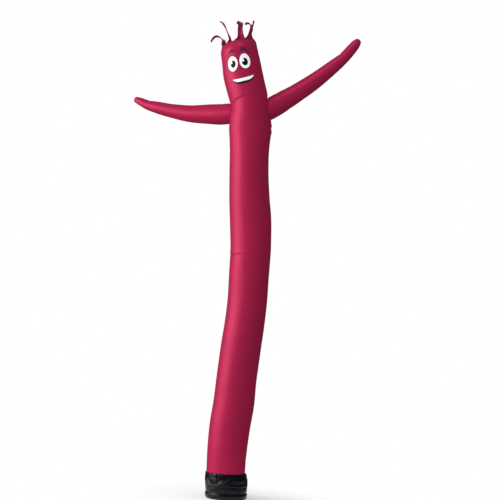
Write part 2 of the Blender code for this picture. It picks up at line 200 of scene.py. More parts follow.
@dataclass
class SheetMesh:
    """A sheet of cloth as a grid of points, closed round or open, with a UV map in metres."""

    name: str
    rows: list[list[Vector]]
    closed: bool
    uvs: list[list[Place]]
    thickness: float = CLOTH
    keep: Callable[[Vector], bool] | None = None
    slot_of: Callable[[int, int], int] | None = None

    def build(self, materials: Sequence[bpy.types.Material]) -> bpy.types.Object:
        """Make the object.

        Args:
            materials: The materials that slot_of chooses from.

        Returns:
            The new object, with its thickness as a Solidify modifier.
        """
        bm = bmesh.new()
        layer = bm.loops.layers.uv.new("cloth")
        grid = [[bm.verts.new(p) for p in row] for row in self.rows]
        columns = len(self.rows[0]) if self.closed else len(self.rows[0]) - 1
        for j in range(len(grid) - 1):
            for k in range(columns):
                n = (k + 1) % len(grid[j])
                corners = (grid[j][k], grid[j][n], grid[j + 1][n], grid[j + 1][k])
                middle = sum((c.co for c in corners), Vector()) / 4
                if self.keep and not self.keep(middle):
                    continue
                face = bm.faces.new(corners)
                face.smooth = True
                face.material_index = self.slot_of(j, k) if self.slot_of else 0
                places = (
                    self.uvs[j][k],
                    self.uvs[j][k + 1],
                    self.uvs[j + 1][k + 1],
                    self.uvs[j + 1][k],
                )
                for loop, place in zip(face.loops, places):
                    loop[layer].uv = place
        bmesh.ops.remove_doubles(bm, verts=bm.verts, dist=SAME_POINT)
        bmesh.ops.delete(bm, geom=[v for v in bm.verts if not v.link_faces], context="VERTS")
        for edge in bm.edges:
            edge.smooth = not edge.is_boundary
        mesh = bpy.data.meshes.new(self.name)
        bm.to_mesh(mesh)
        bm.free()
        for material in materials:
            mesh.materials.append(material)
        obj = add_object(self.name, mesh)
        shell = obj.modifiers.new("thickness", "SOLIDIFY")
        shell.thickness = self.thickness
        shell.offset = -1.0
        return obj


def put_on(obj: bpy.types.Object, node: str) -> bpy.types.Object:
    """Let a piece ride on the part and stand for its CAD node.

    Args:
        obj: The piece.
        node: The CAD node that it replaces.

    Returns:
        The same piece.
    """
    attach(obj, BODY)
    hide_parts(node)
    LOG.info("%s: %d faces", obj.name, len(obj.data.polygons))
    return obj


# ---------------------------------------------------------------- node groups


def wire(node: bpy.types.Node, inputs: dict[str | int, object]) -> None:
    """Fill a node's inputs.

    Args:
        node: The node.
        inputs: A value, or a socket to link, for each input by its name or number.
    """
    for key, value in inputs.items():
        if isinstance(value, bpy.types.NodeSocket):
            node.id_data.links.new(value, node.inputs[key])
        else:
            node.inputs[key].default_value = value


def add_node(
    tree: bpy.types.NodeTree,
    kind: str,
    inputs: dict[str | int, object] | None = None,
    **settings: object,
) -> bpy.types.Node:
    """Add a shader node, set it up and wire it.

    Args:
        tree: The tree that gets the node.
        kind: The node's type, without "ShaderNode" in front.
        inputs: Its inputs, as for wire.
        **settings: Its properties, which are set first.

    Returns:
        The new node.
    """
    node = tree.nodes.new(f"ShaderNode{kind}")
    for name, value in settings.items():
        setattr(node, name, value)
    wire(node, inputs or {})
    return node


class Group:
    """A shader node group that puts out values which change over the surface."""

    def __init__(self, name: str, inputs: dict[str, float | None], outputs: Sequence[str]) -> None:
        """Make the group with its sockets.

        Args:
            name: The group's name.
            inputs: Socket names with their default, or None for a vector.
            outputs: Names of the value outputs.
        """
        self.tree = bpy.data.node_groups.new(name, "ShaderNodeTree")
        for socket, default in inputs.items():
            kind = "NodeSocketVector" if default is None else "NodeSocketFloat"
            made = self.tree.interface.new_socket(socket, in_out="INPUT", socket_type=kind)
            if default is not None:
                made.default_value = default
        for socket in outputs:
            self.tree.interface.new_socket(socket, in_out="OUTPUT", socket_type="NodeSocketFloat")
        self.inlet = self.tree.nodes.new("NodeGroupInput")
        self.outlet = self.tree.nodes.new("NodeGroupOutput")

    def math(self, operation: str, *values: object) -> bpy.types.NodeSocket:
        """Add a Math node on sockets or numbers and return its output."""
        return add_node(self.tree, "Math", dict(enumerate(values)), operation=operation).outputs[0]

    def split(self, socket: bpy.types.NodeSocket) -> tuple[bpy.types.NodeSocket, ...]:
        """Split a vector into its three values."""
        return tuple(add_node(self.tree, "SeparateXYZ", {0: socket}).outputs)

    def noise(self, vector: bpy.types.NodeSocket, scale: object, detail: float) -> bpy.types.NodeSocket:
        """Add a noise texture and return its value."""
        inputs = {"Vector": vector, "Scale": scale, "Detail": detail}
        return add_node(self.tree, "TexNoise", inputs).outputs["Fac"]

    def put(self, socket: bpy.types.NodeSocket, output: str) -> None:
        """Feed one of the group's outputs."""
        wire(self.outlet, {output: socket})


def weave_group() -> bpy.types.NodeTree:
    """A plain weave: threads that pass over and under each other, from a UV map in metres.

    Returns:
        The group's tree.
    """
    group = Group("plain_weave", {"Vector": None, "Pitch": 0.0011}, ("Height",))
    u, v, _ = group.split(group.inlet.outputs["Vector"])
    turn = group.math("DIVIDE", 2 * math.pi, group.inlet.outputs["Pitch"])
    warp = group.math("SINE", group.math("MULTIPLY", u, turn))
    weft = group.math("SINE", group.math("MULTIPLY", v, turn))
    crossed = group.math("MULTIPLY", warp, weft)
    group.put(group.math("MULTIPLY_ADD", crossed, 0.5, 0.5), "Height")
    return group.tree


def mottle_group() -> bpy.types.NodeTree:
    """Uneven dye and soil: broad clouds with finer ones on them, from 0 to 1.

    Returns:
        The group's tree.
    """
    group = Group("cloth_mottle", {"Vector": None, "Scale": 3.0}, ("Mask",))
    vector, scale = group.inlet.outputs["Vector"], group.inlet.outputs["Scale"]
    broad = group.noise(vector, scale, 3.0)
    fine = group.noise(vector, group.math("MULTIPLY", scale, 9.0), 4.0)
    group.put(group.math("MULTIPLY_ADD", fine, 0.35, group.math("MULTIPLY", broad, 0.65)), "Mask")
    return group.tree


def crumple_group() -> bpy.types.NodeTree:
    """Small creases of handled cloth, as a height.

    Returns:
        The group's tree.
    """
    group = Group("crumple", {"Vector": None, "Scale": 14.0, "Stretch": 0.4}, ("Height",))
    u, v, w = group.split(group.inlet.outputs["Vector"])
    stretched = group.math("MULTIPLY", v, group.inlet.outputs["Stretch"])
    join = add_node(group.tree, "CombineXYZ", {0: u, 1: stretched, 2: w})
    base = group.noise(join.outputs[0], group.inlet.outputs["Scale"], 5.0)
    fold = group.math("ABSOLUTE", group.math("SUBTRACT", base, 0.5))
    group.put(group.math("SUBTRACT", 1.0, group.math("MULTIPLY", fold, 4.0)), "Height")
    return group.tree


def stitch_group() -> bpy.types.NodeTree:
    """A row of stitches along a sheet's lower edge and one along its upper, from a UV map in metres.

    Returns:
        The group's tree.
    """
    group = Group(
        "edge_stitches",
        {"Vector": None, "Length": 1.24, "Inset": 0.012, "Pitch": 0.007},
        ("Mask",),
    )
    u, v, _ = group.split(group.inlet.outputs["Vector"])
    length, inset = group.inlet.outputs["Length"], group.inlet.outputs["Inset"]
    from_top = group.math("SUBTRACT", length, v)
    edge = group.math("MINIMUM", v, from_top)
    off = group.math("ABSOLUTE", group.math("SUBTRACT", edge, inset))
    row = group.math("LESS_THAN", off, THREAD_HALF)
    along = group.math("FRACT", group.math("DIVIDE", u, group.inlet.outputs["Pitch"]))
    from_middle = group.math("ABSOLUTE", group.math("SUBTRACT", along, 0.5))
    dash = group.math("LESS_THAN", from_middle, DASH_HALF)
    group.put(group.math("MULTIPLY", row, dash), "Mask")
    return group.tree


# ---------------------------------------------------------------- finishes


@dataclass(frozen=True)
class Finish:
    """A surface: its colours, gloss, weave, creases, stitching and painted glow."""

    name: str
    light: tuple[float, float, float]
    dark: tuple[float, float, float]
    roughness: float
    gloss_range: float = 0.08
    specular: float = 0.5
    metal: float = 0.0
    # painted glow: the surface gives off light in its light colour, so it shows brighter than the lamps
    # make it
    painted_glow: float = 0.0
    pitch: float = 0.0011
    weave: float = 0.25
    crumple: float = 0.0
    crumple_scale: float = 14.0
    mottle_scale: float = 3.0
    stitched_length: float = 0.0
    thread: tuple[float, float, float] = (0.40, 0.012, 0.060)

    def material(self, groups: dict[str, bpy.types.NodeTree]) -> bpy.types.Material:
        """Make the material.

        Args:
            groups: The shared node groups by name.

        Returns:
            A Principled material dressed with those groups.
        """
        material = bpy.data.materials.new(self.name)
        material.use_nodes = True
        tree = material.node_tree
        place = add_node(tree, "TexCoord")

        def add(name: str, vector: str, **values: float) -> bpy.types.NodeSocket:
            """Place a shared group and return its output."""
            inputs = {"Vector": place.outputs[vector], **values}
            return add_node(tree, "Group", inputs, node_tree=groups[name]).outputs[0]

        def mix(share: bpy.types.NodeSocket, first: object, second: object) -> bpy.types.NodeSocket:
            """Mix two colours by a mask."""
            return add_node(tree, "Mix", {0: share, 6: first, 7: second}, data_type="RGBA").outputs[2]

        def bump(strength: float, distance: float, **inputs: bpy.types.NodeSocket) -> bpy.types.NodeSocket:
            """Bend the normal by a height."""
            values = {"Strength": strength, "Distance": distance, **inputs}
            return add_node(tree, "Bump", values).outputs["Normal"]

        mottle = add("cloth_mottle", "Object", Scale=self.mottle_scale)
        colour = mix(mottle, (*self.dark, 1.0), (*self.light, 1.0))
        height = add("plain_weave", "UV", Pitch=self.pitch)
        if self.stitched_length:
            mask = add("edge_stitches", "UV", Length=self.stitched_length)
            colour = mix(mask, colour, (*self.thread, 1.0))
            raised = {0: mask, 1: STITCH_RISE, 2: height}
            height = add_node(tree, "Math", raised, operation="MULTIPLY_ADD").outputs[0]
        ends = {"To Min": self.roughness + self.gloss_range, "To Max": self.roughness - self.gloss_range}
        gloss = add_node(tree, "MapRange", {"Value": mottle, **ends})
        normal = bump(self.weave, WEAVE_DEPTH, Height=height)
        if self.crumple:
            creases = add("crumple", "Object", Scale=self.crumple_scale)
            normal = bump(self.crumple, CREASE_DEPTH, Height=creases, Normal=normal)
        wire(tree.nodes["Principled BSDF"], {
            "Base Color": colour,
            "Roughness": gloss.outputs["Result"],
            "Normal": normal,
            "Specular IOR Level": self.specular,
            "Metallic": self.metal,
            # painted glow: emission in the surface's light colour
            "Emission Color": (*self.light, 1.0),
            "Emission Strength": self.painted_glow,
        })
        return material


@dataclass
class Wardrobe:
    """Every finish of the figure, made once."""

    made: dict[str, bpy.types.Material] = field(default_factory=dict)
    groups: dict[str, bpy.types.NodeTree] = field(default_factory=dict)

    def stock(self) -> None:
        """Make the shared node groups."""
        self.groups = {
            "plain_weave": weave_group(),
            "cloth_mottle": mottle_group(),
            "crumple": crumple_group(),
            "edge_stitches": stitch_group(),
        }

    def get(self, finish: Finish) -> bpy.types.Material:
        """The material of a finish, made when first asked for."""
        if finish.name not in self.made:
            self.made[finish.name] = finish.material(self.groups)
        return self.made[finish.name]


RED_CLOTH = Finish(
    "red_nylon", (0.56, 0.017, 0.088), (0.48, 0.013, 0.070), 0.40,
    metal=0.19, specular=0.18, weave=0.12,
)
BLACK_CLOTH = Finish(
    "coated_black_cloth", (0.004, 0.006, 0.008), (0.001, 0.0015, 0.002), 0.24,
    specular=0.24, crumple=0.30, crumple_scale=11.0, weave=0.15, pitch=0.0016,
)
STREAMER_CLOTH = Finish(
    "creased_red_nylon", (0.50, 0.018, 0.095), (0.26, 0.009, 0.050), 0.42,
    metal=0.20, specular=0.25, crumple=0.5, crumple_scale=45.0, mottle_scale=22.0,
)
# painted glow: the white patches of the eyes, mouth and pupils give off light, so they show brighter than
# the lamps make them
WHITE_PATCH = Finish("white_satin", (0.93, 0.93, 0.95), (0.88, 0.88, 0.92), 0.42, painted_glow=0.30, weave=0.2)
BLACK_PATCH = Finish(
    "black_satin", (0.010, 0.013, 0.020), (0.005, 0.006, 0.010), 0.45, specular=0.15, weave=0.2
)
EDGE_THREAD = Finish("dark_edge_thread", (0.045, 0.014, 0.026), (0.026, 0.008, 0.016), 0.55, pitch=0.0022)
GREY_PATCH = Finish(
    "plum_grey_satin", (0.105, 0.026, 0.060), (0.070, 0.018, 0.042), 0.55, specular=0.2, weave=0.2
)
LIP_PATCH = Finish(
    "charcoal_satin", (0.014, 0.012, 0.022), (0.006, 0.006, 0.012), 0.60, specular=0.1, weave=0.2
)
RING_PLASTIC = Finish(
    "moulded_black_plastic", (0.030, 0.030, 0.034), (0.018, 0.018, 0.021), 0.48,
    weave=0.0, crumple=0.10, crumple_scale=260.0, mottle_scale=30.0,
)


# ---------------------------------------------------------------- the tube


@dataclass
class Tube:
    """The cloth tube with its neck, head and crown, in four sewn lengths."""

    rows: Table = (
        # height, shift, half_width, half_depth
        (0.235, -0.018, 0.2220, 0.2220), (0.295, -0.019, 0.2220, 0.2220),
        (0.555, -0.018, 0.2285, 0.2340), (0.817, -0.004, 0.2355, 0.2335),
        (1.079, 0.024, 0.2370, 0.2320), (1.340, 0.038, 0.2335, 0.2350),
        (1.743, 0.069, 0.2335, 0.2375), (2.005, 0.093, 0.2325, 0.2385),
        (2.281, 0.109, 0.2320, 0.2370), (2.557, 0.109, 0.2335, 0.2355),
        (2.787, 0.111, 0.2358, 0.2330), (2.917, 0.109, 0.2380, 0.2310),
        (3.222, 0.088, 0.2440, 0.2250), (3.456, 0.062, 0.2385, 0.2305),
        (3.735, 0.040, 0.2315, 0.2375), (4.004, 0.027, 0.2320, 0.2370),
        (4.169, 0.023, 0.2410, 0.2280), (4.294, 0.021, 0.2530, 0.2200),
        (4.404, 0.016, 0.2450, 0.2240), (4.504, 0.011, 0.2330, 0.2320),
        (4.613, -0.006, 0.2245, 0.2350), (4.702, -0.030, 0.2295, 0.2380),
        (4.800, -0.062, 0.2315, 0.2370), (4.948, -0.106, 0.2345, 0.2345),
        (5.076, -0.133, 0.2290, 0.2350), (5.173, -0.156, 0.2230, 0.2380),
    )
    foot: float = 0.243
    seams: tuple[float, ...] = (1.546, 2.787, 4.026)
    crown_height: float = 0.184
    crown_squareness: float = 3.10
    sides: int = 128
    ring_step: float = 0.0105
    crown_rings: int = 26
    crown_cloth: float = 0.30  # cloth that the crown takes, measured over it
    crown_share: float = 0.93  # of the top length's rectangle, what is left when its crown is cut
    unsewn: float = 1.0  # puts the top length's second row of stitches past its closed end
    pucker_count: int = 34
    pucker_reach: float = 0.22
    pucker_rise: float = 0.0005
    pucker_fade: float = 0.040
    seam_sink: float = 0.0003
    seam_width: float = 0.006
    gather_count: int = 30
    gather_reach: float = 0.2
    gather_rise: float = 0.0016
    gather_fade: float = 0.05
    unevenness: Place = (0.0022, 0.0009)  # broad and fine
    folds: tuple[Fold, ...] = (
        Fold(
            ((-88.0, 4.582), (-62.0, 4.622), (-40.0, 4.642), (-17.0, 4.650), (12.0, 4.650)), 0.0095, -0.0070
        ),
        Fold(((-80.0, 4.640), (-40.0, 4.690), (-12.0, 4.696)), 0.026, 0.0022),
        Fold(((64.0, 4.560), (84.0, 4.632), (112.0, 4.650)), 0.013, -0.0060),
        Fold(((-110.0, 4.022), (-84.0, 4.030), (-60.0, 4.024)), 0.011, -0.0045),
        Fold(((-105.0, 2.792), (-70.0, 2.787), (-44.0, 2.782), (-18.0, 2.784)), 0.010, -0.0042),
        Fold(((-95.0, 2.832), (-50.0, 2.826), (-20.0, 2.820)), 0.026, 0.0022),
        Fold(((-100.0, 1.552), (-72.0, 1.546), (-48.0, 1.552)), 0.012, -0.0022),
        Fold(((52.0, 4.330), (78.0, 4.300), (100.0, 4.318)), 0.014, -0.0060),
        Fold(((70.0, 4.350), (92.0, 4.342), (112.0, 4.350)), 0.012, 0.0040),
        Fold(((72.0, 4.262), (94.0, 4.270), (114.0, 4.262)), 0.013, 0.0040),
        Fold(((150.0, 4.640), (180.0, 4.668), (214.0, 4.640)), 0.014, -0.0060),
        Fold(((128.0, 2.810), (170.0, 2.795), (206.0, 2.806)), 0.015, -0.0045),
        Fold(((40.0, 0.420), (72.0, 0.455), (110.0, 0.430)), 0.030, -0.0030),
    )
    shape_cache: dict[float, tuple[Vector, float, float, float]] = field(default_factory=dict)

    @property
    def crown_foot(self) -> float:
        """The height at which the head starts to close."""
        return self.rows[-1][0]

    def lean(self, height: float) -> float:
        """The lean of the spine from +Z towards +X, in radians."""
        height = min(height, self.crown_foot)
        low = max(self.rows[0][0], height - NUDGE)
        high = min(self.crown_foot, height + NUDGE)
        return math.atan2(read_row(self.rows, high)[0] - read_row(self.rows, low)[0], high - low)

    def section(self, height: float) -> tuple[Vector, float, float, float]:
        """The tube's plain section at a height.

        Args:
            height: Height on the spine.

        Returns:
            Centre, lean, half width and half depth.
        """
        if height in self.shape_cache:
            return self.shape_cache[height]
        if height <= self.crown_foot:
            shift, wide, deep = read_row(self.rows, height)
            made = (Vector((shift, 0.0, height)), self.lean(height), wide, deep)
        else:
            shift, wide, deep = self.rows[-1][1:]
            lean = self.lean(self.crown_foot)
            rise = (height - self.crown_foot) / math.cos(lean)
            climb = math.asin(min(1.0, rise / self.crown_height) ** (self.crown_squareness / 2))
            centre = Vector((shift, 0.0, self.crown_foot)) + spine_ways(lean)[1] * rise
            wide *= max(0.0, math.cos(climb)) ** (2 / self.crown_squareness)
            made = (centre, lean, wide, deep * max(0.0, math.cos(climb)))
        self.shape_cache[height] = made
        return made

    def drape(self, height: float, turn: float) -> float:
        """How far unevenness, seams and folds lift the cloth from its plain section.

        Args:
            height: Height on the spine.
            turn: Angle from the front, positive towards +X, in radians.

        Returns:
            The lift in metres.
        """
        x, y = math.sin(turn), math.cos(turn)
        broad, fine = self.unevenness
        lift = broad * noise.noise(Vector((1.3 * x, 1.3 * y, 1.5 * height)))
        lift += fine * noise.noise(Vector((3.4 * x, 3.4 * y, 3.0 * height + 7.0)))
        for number, seam in enumerate(self.seams):
            gap = abs(height - seam)
            if gap < self.pucker_reach:
                wave = math.sin(self.pucker_count * turn + 2.2 * math.sin(3 * turn + number))
                share = 0.55 + 0.45 * noise.noise(Vector((2.0 * x, 2.0 * y, float(number))))
                lift += self.pucker_rise * wave * share * math.exp(-gap / self.pucker_fade)
                lift -= self.seam_sink * bell(gap, self.seam_width)
        low = height - self.foot
        if low < self.gather_reach:
            wave = math.sin(self.gather_count * turn + 1.5 * math.sin(4 * turn))
            lift += self.gather_rise * wave * math.exp(-low / self.gather_fade)
        return lift + sum(fold.height_at(turn, height) for fold in self.folds)

    def point(self, height: float, turn: float, proud: float = 0.0) -> Vector:
        """A point on the cloth.

        Args:
            height: Height on the spine.
            turn: Angle from the front, positive towards +X, in radians.
            proud: How far outside the cloth.

        Returns:
            The point in the part's frame.
        """
        centre, lean, wide, deep = self.section(height)
        share = min(1.0, wide / 0.06)
        proud += self.drape(height, turn) * share
        return (
            centre
            + spine_ways(lean)[0] * (wide + proud * share) * math.sin(turn)
            - Vector((0.0, 1.0, 0.0)) * (deep + proud * share) * math.cos(turn)
        )

    def holds(self, point: Vector, margin: float) -> bool:
        """Whether a point is inside the tube.

        Args:
            point: The point.
            margin: How far the tube is grown for the test.

        Returns:
            True inside.
        """
        height = point.z
        for _ in range(4):
            centre, lean, wide, deep = self.section(min(height, self.crown_foot))
            off = point - centre
            across, along = spine_ways(lean)
            height += off.dot(along) * math.cos(lean)
            height = max(self.rows[0][0], min(self.crown_foot, height))
        return (off.dot(across) / (wide + margin)) ** 2 + (off.y / (deep + margin)) ** 2 < 1

    def crown_top(self, x: float, y: float) -> float:
        """The height of the crown over a place, found by halving.

        Args:
            x: Place along X.
            y: Place along Y.

        Returns:
            The height in metres.
        """
        foot, lean, _, _ = self.section(self.crown_foot)
        across, along = spine_ways(lean)
        low, high = self.crown_foot, self.crown_foot + 1.2 * self.crown_height
        for _ in range(24):
            middle = (low + high) / 2
            off = Vector((x, y, middle)) - foot
            rise = off.dot(along)
            if rise < 0:
                low = middle
                continue
            _, _, wide, deep = self.section(self.crown_foot + min(rise, self.crown_height) * math.cos(lean))
            spread = (off.dot(across) / max(wide, 1e-4)) ** 2 + (y / max(deep, 1e-4)) ** 2
            if rise < self.crown_height * 0.999 and spread < 1:
                low = middle
            else:
                high = middle
        return low

    def build(self, wardrobe: Wardrobe, arms: Sequence[Arm]) -> list[bpy.types.Object]:
        """Build and dress the four lengths.

        Args:
            wardrobe: The finishes.
            arms: The arms, for whose roots the top length has holes.

        Returns:
            One piece for each length.
        """
        pieces = []
        ends = (self.foot, *self.seams, self.crown_foot)
        for number in range(1, len(ends)):
            low, high = ends[number - 1], ends[number]
            count = math.ceil((high - low) / self.ring_step)
            heights = [low + (high - low) * k / count for k in range(count + 1)]
            top = number == len(ends) - 1
            if top:
                rise = self.crown_height * math.cos(self.lean(self.crown_foot))
                for k in range(1, self.crown_rings + 1):
                    climb = math.pi / 2 * k / self.crown_rings
                    share = math.sin(climb) ** (2 / self.crown_squareness)
                    heights.append(self.crown_foot + rise * min(share, 0.99999))
            rows = [[self.point(h, t) for t in even_turns(self.sides)] for h in heights]
            uvs = round_uvs(self.sides, TUBE_RADIUS, [h - low for h in heights])
            length = high - low + (self.crown_cloth if top else 0.0)
            finish = replace(
                RED_CLOTH, name=f"red_nylon_{number}", crumple=0.05, crumple_scale=5.0, mottle_scale=1.7,
                stitched_length=length + (self.unsewn if top else 0.0),
            )
            keep = (lambda p: not any(arm.takes(p) for arm in arms)) if top else None
            sheet = SheetMesh(f"tube_skin_{number}", rows, True, uvs, keep=keep)
            piece = put_on(sheet.build([wardrobe.get(finish)]), f"tube_length_{number}")
            pieces.append(piece)
        return pieces


# ---------------------------------------------------------------- the arms


@dataclass
class Arm:
    """A tapered cloth arm, sewn round a hole in the tube."""

    side: str
    rows: Table
    turn: float
    folds: tuple[Fold, ...]
    shoulder: Vector = field(default_factory=lambda: Vector((0.009, 0.0, 0.0)))
    tip_bulge: float = 0.5
    sides: int = 64
    spans: int = 130
    tip_rings: int = 8
    hole_margin: float = 0.014  # how much smaller the hole behind the arm is than the arm
    hole_reach: float = 0.4
    root_limit: float = 0.45
    unevenness: float = 0.0016
    root_gathers: tuple[int, float, float] = (17, 0.0013, 0.035)  # count, rise, fade
    root_seam: Place = (0.0022, 0.008)  # sink, width
    tip_gathers: tuple[int, float, float] = (11, 0.0012, 0.03)  # count, rise, fade
    mean_radius: float = 0.105
    length: float = 1.4
    flat: Place = (0.773, 1.46)
    taper_share: float = 0.69  # of the flat rectangle, what is left when it is cut to its taper

    def axes(self, out: float) -> tuple[Vector, Vector, Vector, Vector]:
        """The arm's frame.

        Args:
            out: Level distance from the shoulder.

        Returns:
            Centre, side, lift and direction there.
        """
        heading = level_way(self.turn)
        side = Vector((-heading.y, heading.x, 0.0))
        rise = read_row(self.rows, out + NUDGE)[0] - read_row(self.rows, out - NUDGE)[0]
        run = min(self.rows[-1][0], out + NUDGE) - max(self.rows[0][0], out - NUDGE)
        along = (heading * run + Vector((0.0, 0.0, rise))).normalized()
        centre = self.shoulder + heading * out + Vector((0.0, 0.0, read_row(self.rows, out)[0]))
        return centre, side, along.cross(side).normalized(), along

    def point(self, out: float, angle: float, from_root: float = 1.0) -> Vector:
        """A point on the arm's cloth.

        Args:
            out: Level distance from the shoulder.
            angle: Angle round the arm in radians, a quarter turn at its top.
            from_root: Distance from the seam at its root.

        Returns:
            The point in the part's frame.
        """
        centre, side, lift, _ = self.axes(out)
        radius = read_row(self.rows, out)[1]
        where = Vector((math.cos(angle), math.sin(angle), 4.0 * out + self.turn))
        radius += self.unevenness * noise.noise(where)
        count, rise, fade = self.root_gathers
        radius += rise * math.sin(count * angle + math.sin(3 * angle)) * math.exp(-from_root / fade)
        sink, width = self.root_seam
        radius -= sink * bell(from_root, width)
        count, rise, fade = self.tip_gathers
        radius += rise * math.sin(count * angle) * math.exp(-(self.rows[-1][0] - out) / fade)
        radius += sum(fold.height_at(angle, out) for fold in self.folds)
        return centre + (side * math.cos(angle) + lift * math.sin(angle)) * radius

    def takes(self, point: Vector) -> bool:
        """Whether a point of the tube's wall lies in the hole behind this arm.

        Args:
            point: The point.

        Returns:
            True in the hole.
        """
        out = (point - self.shoulder).dot(level_way(self.turn))
        if not self.rows[0][0] < out < self.hole_reach:
            return False
        centre, side, lift, _ = self.axes(out)
        off = point - centre
        return math.hypot(off.dot(side), off.dot(lift)) < read_row(self.rows, out)[1] - self.hole_margin

    def root(self, tube: Tube, angle: float) -> float:
        """How far out the arm leaves the tube's wall, found by halving.

        Args:
            tube: The tube.
            angle: Angle round the arm, in radians.

        Returns:
            The level distance from the shoulder.
        """
        low, high = self.rows[0][0], self.root_limit
        for _ in range(22):
            middle = (low + high) / 2
            if tube.holds(self.point(middle, angle), -CLOTH):
                low = middle
            else:
                high = middle
        return high

    def build(self, tube: Tube, wardrobe: Wardrobe) -> bpy.types.Object:
        """Build and dress the arm.

        Args:
            tube: The tube that the arm is sewn to.
            wardrobe: The finishes.

        Returns:
            The piece.
        """
        angles = even_turns(self.sides)
        roots = [self.root(tube, a) for a in angles]
        end = self.rows[-1][0]
        rows, levels = [], []
        for j in range(self.spans + 1):
            share = j / self.spans
            share = 0.75 * share + 0.25 * share * share
            outs = [r + (end - r) * share for r in roots]
            rows.append([self.point(o, a, o - r) for o, a, r in zip(outs, angles, roots)])
            levels.append(share * self.length)
        centre, _, _, along = self.axes(end)
        tip = self.rows[-1][2] * self.tip_bulge
        for j in range(1, self.tip_rings + 1):
            climb = math.pi / 2 * j / self.tip_rings
            shrink = max(math.cos(climb), 0.002)
            ahead = along * tip * math.sin(climb)
            rows.append([centre + (p - centre) * shrink + ahead for p in rows[self.spans]])
            levels.append(levels[self.spans] + 0.004 * j)
        uvs = round_uvs(self.sides, self.mean_radius, levels)
        finish = replace(
            RED_CLOTH, name="red_nylon_arms", crumple=0.06, crumple_scale=8.0, mottle_scale=2.5,
            stitched_length=3.0,
        )
        sheet = SheetMesh(f"arm_skin_{self.side}", rows, True, uvs)
        piece = put_on(sheet.build([wardrobe.get(finish)]), f"arm_{self.side}")
        return piece


LEFT_ARM = Arm(
    "left",
    (
        # out, height, radius
        (0.119, 4.495, 0.1190), (0.264, 4.491, 0.1225), (0.405, 4.486, 0.1230), (0.509, 4.491, 0.1180),
        (0.779, 4.503, 0.1025), (1.034, 4.546, 0.0845), (1.216, 4.588, 0.0740), (1.366, 4.628, 0.0590),
        (1.478, 4.677, 0.0470), (1.535, 4.701, 0.0350),
    ),
    158.5,
    (
        Fold(((35.0, 1.372), (90.0, 1.352), (150.0, 1.372)), 0.013, -0.0075, 0.06),
        Fold(((20.0, 0.320), (60.0, 0.360), (95.0, 0.350)), 0.020, -0.0030, 0.12),
        Fold(((250.0, 0.420), (290.0, 0.470), (330.0, 0.450)), 0.022, -0.0030, 0.12),
    ),
)
RIGHT_ARM = Arm(
    "right",
    (
        # out, height, radius
        (0.121, 4.490, 0.1180), (0.237, 4.563, 0.1250), (0.345, 4.638, 0.1235), (0.519, 4.758, 0.1090),
        (0.731, 4.921, 0.0970), (0.962, 5.125, 0.0790), (1.075, 5.234, 0.0670), (1.159, 5.342, 0.0625),
        (1.210, 5.412, 0.0530), (1.234, 5.445, 0.0370),
    ),
    0.0,
    (
        Fold(((30.0, 1.080), (90.0, 1.064), (150.0, 1.084)), 0.014, -0.0045, 0.065),
        Fold(((60.0, 0.330), (110.0, 0.362), (160.0, 0.350)), 0.018, -0.0035, 0.12),
        Fold(((230.0, 0.420), (275.0, 0.400), (320.0, 0.430)), 0.020, -0.0030, 0.12),
    ),
)


# ---------------------------------------------------------------- the collar and the ring


